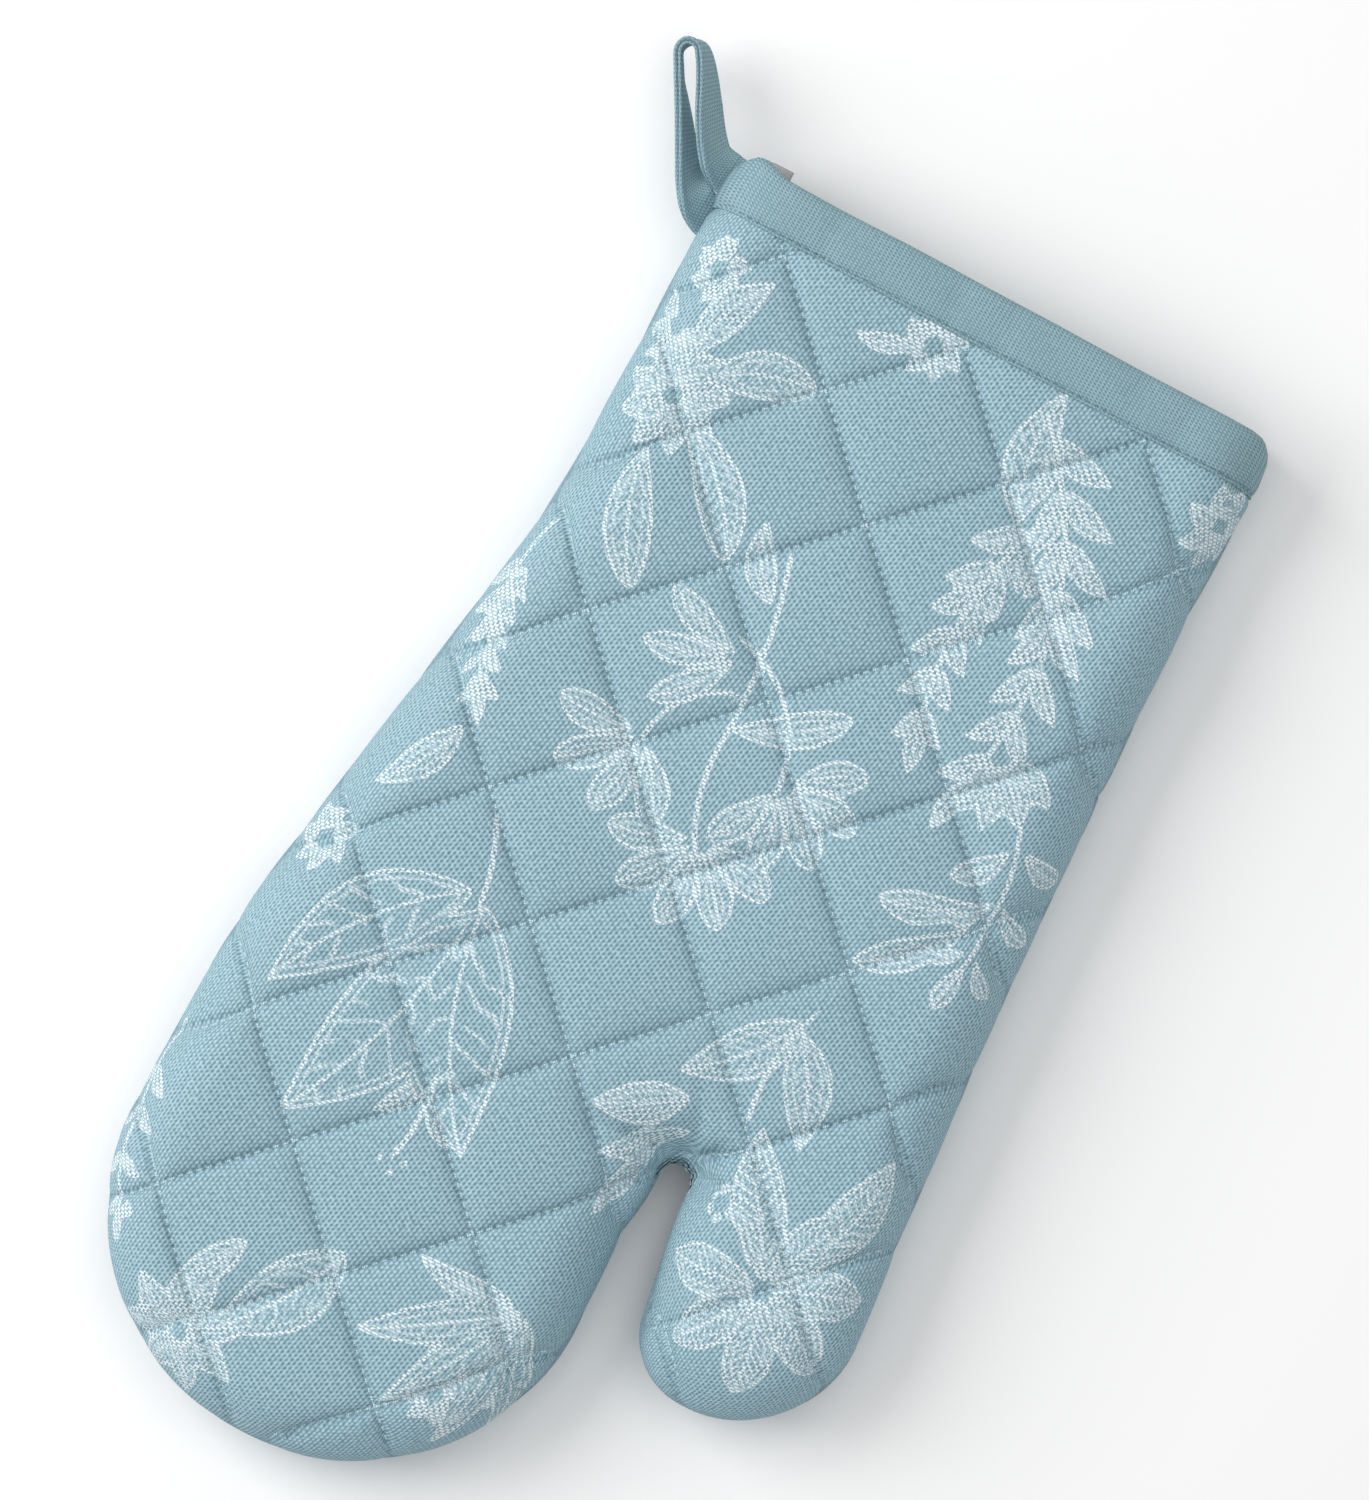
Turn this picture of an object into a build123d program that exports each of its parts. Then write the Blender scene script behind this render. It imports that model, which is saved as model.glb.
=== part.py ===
"""Quilted oven mitt: nested fabric layers sewn round one seam, a bound cuff, a hanging
loop and a small care label.  Millimetres, +Z up.

The mitt lies on its back on the ground plane.  The cuff opens towards -Y, the fingers
point to +Y, the thumb is on -X and the hanging loop stands off the +X corner of the cuff.
Sizes along the mitt are counted from the edge of the cuff; the whole mitt is then placed
with the middle of its bounding box over the origin.
"""
import os
from math import cos, radians, sin, sqrt, tan

from build123d import *

# ---- overall sizes ----------------------------------------------------------------
mitt_length = 320.0        # cuff edge to fingertips
cuff_width = 144.0         # seam to seam across the cuff
cuff_centre_x = -1.2
mitt_thickness = 34.0      # lying down, both padded sides together
finger_width = 119.6       # across the four-finger pocket
finger_centre_x = 32.6
finger_tip_radius = 58.0
palm_top_y = 212.0         # where the little-finger side reaches its full width
wrist_y = 92.0             # where that side starts to lean out
finger_lean = 1.6          # how far the finger pocket still widens above the palm

# ---- thumb ------------------------------------------------------------------------
thumb_tip_y = 265.8
thumb_outer_x = -89.0
thumb_inner_x = -40.3
thumb_tip_radius = 17.5    # inner corner of the thumb end
thumb_back_radius = 30.0   # outer corner of the thumb end
thumb_base_x = -79.5       # outer side level with the base of the thumb
thumb_base_y = 157.0
cuff_flare_y = 70.0        # where the thumb side has its cuff width
cuff_flare = 1.7           # how much wider it is there than at the cuff edge
crotch_x = -29.2
crotch_y = 200.4
crotch_side_x = -25.4      # finger side just above the crotch
crotch_side_y = 236.0
crotch_radius = 2.6

# ---- fabric layers ----------------------------------------------------------------
outer_thickness = 0.8      # jacquard face cloth
batting_thickness = 4.0
lining_thickness = 0.6
flat_batting = 1.5         # batting squeezed flat in the seam allowance
seam_allowance = 8.0       # turned inside, measured in from the seam
edge_band = 0.8            # height of the upright strip left along the seam
side_blend = 250.0         # gentle rounding where the long sides change direction
crotch_blend = 40.0

# ---- cuff binding -----------------------------------------------------------------
binding_thickness = 0.9    # bias tape folded double
binding_width = 13.5
cuff_corner_radius = 6.0
topstitch_inset = 0.9      # from the upper edge of the binding

# ---- threads ----------------------------------------------------------------------
thread_width = 0.5
thread_depth = 0.3
seam_thread = 0.6
quilt_pitch_falling = 34.1  # between the lines that fall to the right
quilt_pitch_rising = 33.0   # between the lines that rise to the right
quilt_start_falling = 12.2
quilt_start_rising = -24.0
back_quilt_shift = 11.0    # the back is quilted on its own, so its grid stands elsewhere
falling_lines = 8
rising_lines = 8
quilt_margin = 1.0         # quilting stops this far from the binding

# ---- hanging loop -----------------------------------------------------------------
tape_width = 12.0
tape_thickness = 1.8
loop_gap = 6.0             # clear space between the two legs
loop_reach = 20.1          # from the side seam out to the centre of the bend
loop_tip_y = -13.9
loop_slope = 61.6          # the legs run down and out at this angle
outer_leg = 31.0           # straight part of the leg on the finger side
inner_leg = 21.0           # straight part of the leg on the cuff side
outer_root_y = 18.9
inner_root_y = 5.5
root_bend = 12.0
root_half_height = 1.0     # the tape is pinched to this at its sewn ends
root_opening = 36.0        # half angle at which it opens out again
loop_clearance = 0.3

# ---- care label -------------------------------------------------------------------
label_width = 22.0         # along the seam
label_length = 7.0         # free length out of the seam
label_thickness = 0.5
label_peek = 3.0           # shows past the edge of the cuff
label_clearance = 0.3
label_stitch_length = 12.0

# ---- values that follow -----------------------------------------------------------
layers = outer_thickness + batting_thickness + lining_thickness
half = mitt_thickness / 2
roll_radius = min(half - edge_band / 2, thumb_tip_radius - edge_band)
tail = 45.0                # the outline is drawn on past the cuff, then cut there
reach = 2 * mitt_length
cuff_right = cuff_centre_x + cuff_width / 2
cuff_left = cuff_centre_x - cuff_width / 2
finger_right = finger_centre_x + finger_width / 2
finger_left = finger_centre_x - finger_width / 2
stack = outer_thickness + flat_batting + lining_thickness
loop_tip_x = cuff_right + loop_reach
loop_radius = (loop_gap + tape_thickness) / 2
loop_foot = loop_tip_y - loop_radius - tape_thickness / 2


def outline_points():
    """Corners of the mitt's plan and the rounding of each, going up the finger side."""
    return [
        ((cuff_right, -tail), 20.0),
        ((cuff_right, wrist_y), side_blend),
        ((finger_right - finger_lean, palm_top_y), side_blend),
        ((finger_right, mitt_length), finger_tip_radius),
        ((finger_left, mitt_length), finger_tip_radius),
        ((crotch_side_x, crotch_side_y), crotch_blend),
        ((crotch_x, crotch_y), crotch_radius),
        ((thumb_inner_x, thumb_tip_y), thumb_tip_radius),
        ((thumb_outer_x, thumb_tip_y), thumb_back_radius),
        ((thumb_base_x, thumb_base_y), side_blend),
        ((cuff_left - cuff_flare, cuff_flare_y), side_blend),
        ((cuff_left, -tail), 20.0),
    ]


def plan(inset):
    """Plan of the mitt, moved in from the seam by inset."""
    with BuildSketch() as sketch:
        with BuildLine():
            corners = [point for point, radius in outline_points()]
            radii = [radius for point, radius in outline_points()]
            FilletPolyline(*corners, radius=radii, close=True)
        make_face()
        if inset:
            offset(amount=-inset, kind=Kind.INTERSECTION)
    return sketch.sketch


# The bounding box runs from the thumb to the loop, and from the loop to the fingertips.
seam_box = plan(0).bounding_box()
loop_right = loop_tip_x + loop_radius + tape_thickness / 2
centre_x = (seam_box.min.X + loop_right) / 2
centre_y = (loop_foot + mitt_length) / 2
mitt = Plane(origin=(-centre_x, -centre_y, 0))


def block(x_range, y_range, z_range):
    """Box between three pairs of limits, in the mitt's own measures."""
    with BuildPart() as box:
        with BuildSketch(mitt.offset(z_range[0])):
            with Locations((sum(x_range) / 2, sum(y_range) / 2)):
                Rectangle(x_range[1] - x_range[0], y_range[1] - y_range[0])
        extrude(amount=z_range[1] - z_range[0])
    return box.part


def slab(y_range, z_range=(0.0, mitt_thickness)):
    """Block as wide as the mitt between two distances from the cuff."""
    return block((-reach, reach), y_range, z_range)


def prism(inset, z_range):
    """Upright block on the plan moved in by inset."""
    with BuildPart() as body:
        with BuildSketch(mitt.offset(z_range[0])):
            add(plan(inset))
        extrude(amount=z_range[1] - z_range[0])
    return body.part


def pillow(inset):
    """Solid inside the surface that lies inset below the mitt's outside."""
    with BuildPart() as body:
        with BuildSketch(mitt.offset(inset)):
            add(plan(inset))
        extrude(amount=mitt_thickness - 2 * inset)
        rims = body.faces().sort_by(Axis.Z)
        fillet(rims[0].edges() + rims[-1].edges(), roll_radius - inset)
    return body.part


def cavity(growth):
    """Room for the hand, made larger by growth; the seam allowance stands into it."""
    with BuildPart() as body:
        add(pillow(layers - growth))
        add(seam_ring(growth), mode=Mode.SUBTRACT)
    return body.part


def seam_ring(growth):
    """Both sides' seam allowance, thickened by minus growth."""
    z_range = (half - stack + growth, half + stack - growth)
    with BuildPart() as body:
        add(prism(0, z_range))
        add(prism(seam_allowance - growth, z_range), mode=Mode.SUBTRACT)
    return body.part


def envelope(depth):
    """Solid below a layer: it steps in under the binding, which lies flush."""
    step = binding_width + depth
    with BuildPart() as body:
        add(pillow(depth))
        add(slab((-tail, step)), mode=Mode.SUBTRACT)
        add(pillow(binding_thickness + depth))
    return body.part


def cuff_cut(inset):
    """What is left of the tail once the cuff is cut square with two rounded corners."""
    corner = cuff_corner_radius - inset
    left = cuff_left + inset
    right = cuff_right - inset
    with BuildPart() as body:
        with BuildSketch(mitt):
            with BuildLine():
                Polyline(
                    (-reach, -2 * tail),
                    (reach, -2 * tail),
                    (reach, inset + corner),
                    (right, inset + corner),
                )
                RadiusArc((right, inset + corner), (right - corner, inset), corner)
                Line((right - corner, inset), (left + corner, inset))
                RadiusArc((left + corner, inset), (left, inset + corner), corner)
                Polyline((left, inset + corner), (-reach, inset + corner), (-reach, -2 * tail))
            make_face()
        extrude(amount=mitt_thickness)
    return body.part


def quilt_lines(shift):
    """Thin upright sheets along both sets of quilting lines."""
    diagonal = sqrt(0.5)
    with BuildPart() as body:
        with BuildSketch(mitt):
            for number in range(falling_lines):
                at = (quilt_start_falling + shift + number * quilt_pitch_falling) * diagonal
                with Locations((at, at)):
                    Rectangle(reach, thread_width, rotation=-45)
            for number in range(rising_lines):
                at = (quilt_start_rising + shift + number * quilt_pitch_rising) * diagonal
                with Locations((-at, at)):
                    Rectangle(reach, thread_width, rotation=45)
        extrude(amount=mitt_thickness)
    return body.part


def upper(low=half):
    return slab((-2 * tail, reach), (low, mitt_thickness + 1))


def flipped(part):
    """The same piece on the other side of the seam."""
    return part.mirror(Plane.XY.offset(half))


trimmed = cuff_cut(binding_thickness)
skin = pillow(thread_depth)


# ---- quilting threads: a grid let into the face cloth on each side ------------------
def quilting_thread(shift):
    with BuildPart() as thread:
        add(quilt_lines(shift))
        add(upper(), mode=Mode.INTERSECT)
        add(pillow(0), mode=Mode.INTERSECT)
        add(skin, mode=Mode.SUBTRACT)
        add(slab((-2 * tail, binding_width + quilt_margin)), mode=Mode.SUBTRACT)
    return thread.part


with BuildPart() as front_quilting_thread:
    add(quilting_thread(0))

with BuildPart() as back_quilting_thread:
    add(flipped(quilting_thread(back_quilt_shift)))

# ---- side seam thread: lies between the two face cloths, just inside the seam -------
with BuildPart() as side_seam_thread:
    seam_level = (half - seam_thread / 2, half + seam_thread / 2)
    seam_inset = outer_thickness + binding_thickness
    add(prism(seam_inset, seam_level))
    add(prism(seam_inset + seam_thread, seam_level), mode=Mode.SUBTRACT)
    add(slab((-2 * tail, cuff_corner_radius)), mode=Mode.SUBTRACT)


# ---- face cloth: the outside, and its strip of seam allowance -----------------------
def outer_panel(thread):
    low = half + outer_thickness
    with BuildPart() as panel:
        add(envelope(0))
        add(upper(), mode=Mode.INTERSECT)
        add(
            envelope(outer_thickness).intersect(upper(low)),
            mode=Mode.SUBTRACT,
        )
        add(prism(seam_allowance, (half, low)), mode=Mode.SUBTRACT)
        add(trimmed, mode=Mode.SUBTRACT)
        add(side_seam_thread.part, mode=Mode.SUBTRACT)
        add(thread, mode=Mode.SUBTRACT)
    return panel.part


with BuildPart() as front_outer_panel:
    add(outer_panel(front_quilting_thread.part))

with BuildPart() as back_outer_panel:
    add(flipped(outer_panel(quilting_thread(back_quilt_shift))))

# ---- batting: thick between the cloths, flat in the seam allowance ------------------
with BuildPart() as front_batting:
    batting_low = half + outer_thickness
    batting_high = batting_low + flat_batting
    add(envelope(outer_thickness))
    add(upper(batting_low), mode=Mode.INTERSECT)
    add(
        pillow(outer_thickness + batting_thickness).intersect(upper(batting_high)),
        mode=Mode.SUBTRACT,
    )
    add(prism(seam_allowance, (batting_low, batting_high)), mode=Mode.SUBTRACT)
    add(trimmed, mode=Mode.SUBTRACT)

with BuildPart() as back_batting:
    add(flipped(front_batting.part))

# ---- lining: what the hand touches --------------------------------------------------
with BuildPart() as front_lining:
    lining_low = batting_high
    lining_high = lining_low + lining_thickness
    add(pillow(outer_thickness + batting_thickness))
    add(upper(lining_low), mode=Mode.INTERSECT)
    add(pillow(layers).intersect(upper(lining_high)), mode=Mode.SUBTRACT)
    add(prism(seam_allowance, (lining_low, lining_high)), mode=Mode.SUBTRACT)
    add(trimmed, mode=Mode.SUBTRACT)

with BuildPart() as back_lining:
    add(flipped(front_lining.part))

# ---- binding topstitch: one line of thread right round the cuff ---------------------
with BuildPart() as binding_topstitch:
    stitch_top = binding_width - topstitch_inset
    add(pillow(0))
    add(skin, mode=Mode.SUBTRACT)
    add(slab((stitch_top - thread_width, stitch_top)), mode=Mode.INTERSECT)

# ---- cuff binding: tape folded over the raw edges of every layer --------------------
def bound_edges():
    """Everything that the binding wraps, cut one tape thickness short of the cuff."""
    with BuildPart() as edges:
        add(envelope(0))
        add(cavity(0), mode=Mode.SUBTRACT)
        add(trimmed, mode=Mode.SUBTRACT)
    return edges.part


with BuildPart() as cuff_binding:
    add(pillow(0))
    add(slab((0, binding_width)), mode=Mode.INTERSECT)
    add(cavity(-binding_thickness), mode=Mode.SUBTRACT)
    add(bound_edges(), mode=Mode.SUBTRACT)
    add(cuff_cut(0), mode=Mode.SUBTRACT)
    add(binding_topstitch.part, mode=Mode.SUBTRACT)

# ---- hanging loop: a hairpin of tape standing on edge, pinched at its sewn ends ------
leg_run = (cos(radians(loop_slope)), -sin(radians(loop_slope)))
leg_side = (sin(radians(loop_slope)), cos(radians(loop_slope)))


def loop_point(side, back):
    """Point beside the middle of the bend, and back up the legs."""
    return (
        loop_tip_x + side * leg_side[0] - back * leg_run[0],
        loop_tip_y + side * leg_side[1] - back * leg_run[1],
    )


loop_hinge_x = cuff_right + loop_clearance + root_half_height

with BuildPart() as hanging_loop:
    with BuildSketch(mitt.offset(half - tape_width / 2)):
        with BuildLine():
            outer_end = loop_point(loop_radius, 0)
            inner_end = loop_point(-loop_radius, 0)
            FilletPolyline(
                (cuff_right, outer_root_y),
                loop_point(loop_radius, outer_leg),
                outer_end,
                radius=root_bend,
            )
            ThreePointArc(outer_end, loop_point(0, -loop_radius), inner_end)
            FilletPolyline(
                inner_end,
                loop_point(-loop_radius, inner_leg),
                (cuff_right, inner_root_y),
                radius=root_bend,
            )
        trace(line_width=tape_thickness)
    extrude(amount=tape_width)
    with BuildSketch(
        Plane(
            origin=mitt.from_local_coords((loop_hinge_x, 2 * tail, half)),
            x_dir=(1, 0, 0),
            z_dir=(0, -1, 0),
        )
    ):
        spread = root_half_height + tail * tan(radians(root_opening))
        Circle(root_half_height)
        with BuildLine():
            Polyline(
                (0, root_half_height),
                (tail, spread),
                (tail, -spread),
                (0, -root_half_height),
                close=True,
            )
        make_face()
    extrude(amount=4 * tail, mode=Mode.INTERSECT)

# ---- care label: a folded strip caught in the seam allowance beside the loop ---------
bound_allowance_x = cuff_right - seam_allowance - binding_thickness
label_hinge_x = bound_allowance_x - thread_depth - label_clearance

with BuildPart() as care_label:
    add(
        block(
            (label_hinge_x - label_length, label_hinge_x),
            (-label_peek, label_width - label_peek),
            (half - label_thickness / 2, half + label_thickness / 2),
        )
    )

with BuildPart() as label_stitching:
    stitch_start = binding_thickness
    add(
        block(
            (bound_allowance_x - thread_depth, bound_allowance_x),
            (stitch_start, min(stitch_start + label_stitch_length, binding_width)),
            (half - thread_width / 2, half + thread_width / 2),
        )
    )

# ---- write every piece --------------------------------------------------------------
pieces = {
    "front_outer_panel": front_outer_panel,
    "front_batting": front_batting,
    "front_lining": front_lining,
    "back_outer_panel": back_outer_panel,
    "back_batting": back_batting,
    "back_lining": back_lining,
    "cuff_binding": cuff_binding,
    "hanging_loop": hanging_loop,
    "care_label": care_label,
    "front_quilting_thread": front_quilting_thread,
    "back_quilting_thread": back_quilting_thread,
    "side_seam_thread": side_seam_thread,
    "binding_topstitch": binding_topstitch,
    "label_stitching": label_stitching,
}

os.makedirs("parts", exist_ok=True)
for name, piece in pieces.items():
    piece.part.label = name
    export_step(piece.part, f"parts/{name}.step")
    box = piece.part.bounding_box()
    print(f"{name:24s} {piece.part.volume:10.1f} mm3", box.min, box.max)

print("cuff centre at", mitt.from_local_coords((cuff_centre_x, 0, half)))
print("loop hinge at", mitt.from_local_coords((loop_hinge_x, inner_root_y, half)))
print("label hinge at", mitt.from_local_coords((label_hinge_x, 0, half)))
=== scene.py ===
# %% [markdown]
# # A quilted oven mitt
# The mitt is two quilted panels sewn face to face and turned, so every layer of it follows
# one outline.  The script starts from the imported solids, which say where each piece is and
# what it moves with, and puts cloth, stitches and tape in their places.

import bpy
import numpy as np
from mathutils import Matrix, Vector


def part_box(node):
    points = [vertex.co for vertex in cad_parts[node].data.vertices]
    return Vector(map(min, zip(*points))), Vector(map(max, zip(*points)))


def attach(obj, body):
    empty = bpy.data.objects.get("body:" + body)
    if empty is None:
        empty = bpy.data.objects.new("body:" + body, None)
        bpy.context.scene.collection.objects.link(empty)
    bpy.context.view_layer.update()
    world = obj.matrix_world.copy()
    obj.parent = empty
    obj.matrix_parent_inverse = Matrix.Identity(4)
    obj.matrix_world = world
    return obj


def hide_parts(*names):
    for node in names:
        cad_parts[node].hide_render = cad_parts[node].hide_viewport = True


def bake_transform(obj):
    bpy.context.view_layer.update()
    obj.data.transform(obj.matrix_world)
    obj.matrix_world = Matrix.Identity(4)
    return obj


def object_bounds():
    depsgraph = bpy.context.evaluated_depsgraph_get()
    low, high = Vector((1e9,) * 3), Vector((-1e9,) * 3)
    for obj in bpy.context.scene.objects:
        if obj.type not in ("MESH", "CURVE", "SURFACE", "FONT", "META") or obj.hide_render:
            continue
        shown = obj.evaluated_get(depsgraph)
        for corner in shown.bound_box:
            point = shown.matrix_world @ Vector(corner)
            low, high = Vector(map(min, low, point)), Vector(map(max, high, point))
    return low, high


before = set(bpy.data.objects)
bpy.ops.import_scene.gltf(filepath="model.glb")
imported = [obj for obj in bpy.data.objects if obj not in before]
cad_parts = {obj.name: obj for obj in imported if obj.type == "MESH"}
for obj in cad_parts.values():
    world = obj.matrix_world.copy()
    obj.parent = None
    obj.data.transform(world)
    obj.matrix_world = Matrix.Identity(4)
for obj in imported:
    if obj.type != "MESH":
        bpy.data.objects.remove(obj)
cad_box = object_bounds()
MM = 0.001
tau = 2 * np.pi
binding_low, binding_high = (np.array(v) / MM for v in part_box("cuff_binding"))
middle = np.array(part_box("front_outer_panel")[0])[2] / MM   # height of the seam in mm
cuff_side = 70.8            # pattern x of the side seam at the cuff, on the loop's side
origin = np.array([binding_high[0] - cuff_side, binding_low[1]])
print("seam height", round(middle, 2), "cuff edge at y", round(origin[1], 2))

# %% [markdown]
# All shapes are worked out in millimetres from the cuff, with x across the mitt and y
# towards the fingers, as a pattern cutter would.  Small helpers turn arrays of points and
# faces into a mesh in metres at its place in the frame.


# %% Meshes from arrays
def in_frame(points):
    """Pattern millimetres to metres in the frame: add the place of the cuff, then scale."""
    moved = np.array(points, float)
    moved[:, 0] += origin[0]
    moved[:, 1] += origin[1]
    return moved * MM


def mesh_piece(name, points, faces):
    """A mesh object from an array of points and an array of quads."""
    mesh = bpy.data.meshes.new(name)
    faces = np.asarray(faces)
    mesh.vertices.add(len(points))
    mesh.vertices.foreach_set("co", in_frame(points).astype(np.float32).ravel())
    mesh.loops.add(faces.size)
    mesh.loops.foreach_set("vertex_index", faces.astype(np.int32).ravel())
    mesh.polygons.add(len(faces))
    starts = np.arange(len(faces), dtype=np.int32) * faces.shape[1]
    mesh.polygons.foreach_set("loop_start", starts)
    mesh.polygons.foreach_set("use_smooth", np.ones(len(faces), bool))
    mesh.update(calc_edges=True)
    mesh.validate()
    piece = bpy.data.objects.new(name, mesh)
    bpy.context.collection.objects.link(piece)
    return piece


def give_vector(piece, name, values):
    """A vector attribute on the points, read by a material."""
    layer = piece.data.attributes.new(name, "FLOAT_VECTOR", "POINT")
    layer.data.foreach_set("vector", values.astype(np.float32).ravel())


def unit(rows):
    """Each row over its own length."""
    return rows / np.linalg.norm(rows, axis=1)[:, None]


def level_points(plan, height):
    """Plan points, all at one height."""
    return np.column_stack([plan, np.full(len(plan), height)])


def around_quad(grid):
    """The four corners of every cell of a grid, in order round the cell."""
    return np.stack([grid[:-1, :-1], grid[1:, :-1], grid[1:, 1:], grid[:-1, 1:]])


def rim_of(faces):
    """Edges that belong to one face only, in that face's direction."""
    sides = np.concatenate([faces[:, [k, (k + 1) % 4]] for k in range(4)])
    _, first, times = np.unique(np.sort(sides, 1), axis=0, return_index=True, return_counts=True)
    return sides[first[times == 1]]


# %% [markdown]
# The outline is a polygon whose corners are rounded, the same one that the solids were
# cut to.  Where a point of the cloth is nearest to that line says how far it is from the
# seam and which way is out, and everything about the padded edge follows from those two.


# %% Outline of the mitt
outline_corners = [
    ((cuff_side, -45.0), 20.0),
    ((cuff_side, 92.0), 250.0),
    ((90.8, 212.0), 250.0),
    ((92.4, 320.0), 58.0),
    ((-27.2, 320.0), 58.0),
    ((-25.4, 236.0), 40.0),
    ((-29.2, 200.4), 2.6),
    ((-40.3, 265.8), 17.5),
    ((-89.0, 265.8), 30.0),
    ((-79.5, 157.0), 250.0),
    ((-74.9, 70.0), 250.0),
    ((-73.2, -45.0), 20.0),
]


def rounded(corners, step=1.6):
    """Closed line through the corners, each replaced by an arc that touches both sides:
    the arc's centre lies on the corner's bisector, at radius over the sine of half the
    corner's angle."""
    places = np.array([c for c, r in corners])
    line = []
    for i, (corner, radius) in enumerate(corners):
        back = places[i - 1] - corner
        ahead = places[(i + 1) % len(places)] - corner
        back, ahead = back / np.hypot(*back), ahead / np.hypot(*ahead)
        half_angle = 0.5 * np.arccos(np.clip(back @ ahead, -1, 1))
        bisector = (back + ahead) / np.hypot(*(back + ahead))
        centre = corner + bisector * radius / np.sin(half_angle)
        first = corner + back * radius / np.tan(half_angle) - centre
        last = corner + ahead * radius / np.tan(half_angle) - centre
        turn = np.arctan2(first[0] * last[1] - first[1] * last[0], first @ last)
        steps = max(3, int(abs(turn) * radius / step))
        angles = np.arctan2(first[1], first[0]) + np.linspace(0, turn, steps + 1)
        line.append(centre + radius * np.stack([np.cos(angles), np.sin(angles)], 1))
    line = np.concatenate(line)
    gap = np.roll(line, -1, 0) - line
    parts = []
    for a, g in zip(line, gap):
        count = max(1, int(np.ceil(np.hypot(*g) / (4 * step))))
        parts.append(a + g * np.linspace(0, 1, count, endpoint=False)[:, None])
    return np.concatenate(parts)


seam = rounded(outline_corners)
seam_next = np.roll(seam, -1, 0)
seam_run = seam_next - seam
seam_length = np.hypot(seam_run[:, 0], seam_run[:, 1])
seam_ahead = seam_run / seam_length[:, None]
print("outline of", len(seam), "points,", seam.min(0).round(1), "to", seam.max(0).round(1))


def from_seam(points):
    """Distance in from the seam, and the way out: nearest point over all the line's
    pieces, negative outside.  Inside is to the left of the line."""
    block, tiny = 4000, 1e-6
    distance = np.empty(len(points))
    outward = np.empty((len(points), 2))
    for start in range(0, len(points), block):
        p = points[start:start + block, None, :]
        along = np.clip(((p - seam) * seam_ahead).sum(2), 0, seam_length)
        gap = p - (seam + seam_ahead * along[..., None])
        size = np.hypot(gap[..., 0], gap[..., 1])
        best = size.argmin(1)
        rows = np.arange(len(best))
        g, s = gap[rows, best], size[rows, best]
        left = np.stack([-seam_ahead[best, 1], seam_ahead[best, 0]], 1)
        sign = np.where((s < tiny) | ((g * left).sum(1) >= 0), 1.0, -1.0)
        inward = np.where(s[:, None] > tiny, g / np.maximum(s, tiny)[:, None], left)
        distance[start:start + block] = s * sign
        outward[start:start + block] = -inward * sign[:, None]
    return distance, outward


# %% [markdown]
# The padded edge rolls over in a quarter round and the rest is nearly flat, lower at the
# cuff, at the thumb and towards the fingertips.  On that smooth form the quilting pulls
# each diamond's edge down and leaves the middle full.  Both are formulas in the two
# distances to the nearest stitched lines, so no simulation is needed to place a stitch
# exactly in its valley.

# %% The padded form
roll = 16.6                 # radius of the rolled edge
falling_pitch, falling_start = 34.1, 12.2
rising_pitch, rising_start = 33.0, -24.0
back_shift = 11.0
binding_width = 13.5
cuff_corner = 5.5           # radius of the cuff's corners
valley_depth, valley_width = 1.5, 1.8
puff_height = 1.7
crotch_x, crotch_y = -29.5, 217.0
binding_step = 1.1          # how far the cloth is pressed down under the binding


def smoothstep(low, high, x):
    """0 to 1 as x goes from low to high: 3 t squared less 2 t cubed."""
    t = np.clip((x - low) / (high - low), 0, 1)
    return t * t * (3 - 2 * t)


def ripple(points, size, seed, waves=7):
    """Smooth unevenness between -1 and 1: a sum of sine waves in seeded directions."""
    draw = np.random.default_rng(seed)
    angle = draw.uniform(0, tau, waves)
    length = size * draw.uniform(0.7, 1.5, waves)
    phase = draw.uniform(0, tau, waves)
    ahead = np.stack([np.cos(angle), np.sin(angle)]) / length
    return np.sin(points[:, :2] @ ahead * tau + phase).sum(1) / np.sqrt(waves * 1.6)


def diagonals(points):
    """Distances along the two diagonals: (x + y) and (y - x), each over root two."""
    x, y = points[:, 0], points[:, 1]
    return (x + y) * np.sqrt(0.5), (y - x) * np.sqrt(0.5)


def line_phase(points, shift):
    """How many quilting lines lie below a point, as a fraction, for both sets."""
    fall, rise = diagonals(points)
    return ((fall - falling_start - shift) / falling_pitch,
            (rise - rising_start - shift) / rising_pitch)


def fullness(points, side):
    """How high each part of the mitt stands, as a share of the full half thickness."""
    x, y = points[:, 0], points[:, 1]
    cuff = 0.86 + 0.14 * smoothstep(0, 75, y)
    tips = 1 - 0.13 * smoothstep(235, 320, y)
    thumb = 1 - 0.14 * smoothstep(-30, -75, x) * smoothstep(150, 235, y)
    crotch = 1 - 0.34 * np.exp(-((x - crotch_x) ** 2 + (y - crotch_y) ** 2) / 22.0**2)
    share = cuff * tips * thumb * crotch * (1 + 0.02 * ripple(points, 90, 3))
    if side < 0:        # the back lies on the table and is pressed flat
        share = 1 - 0.35 * (1 - share)
    return share


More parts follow.
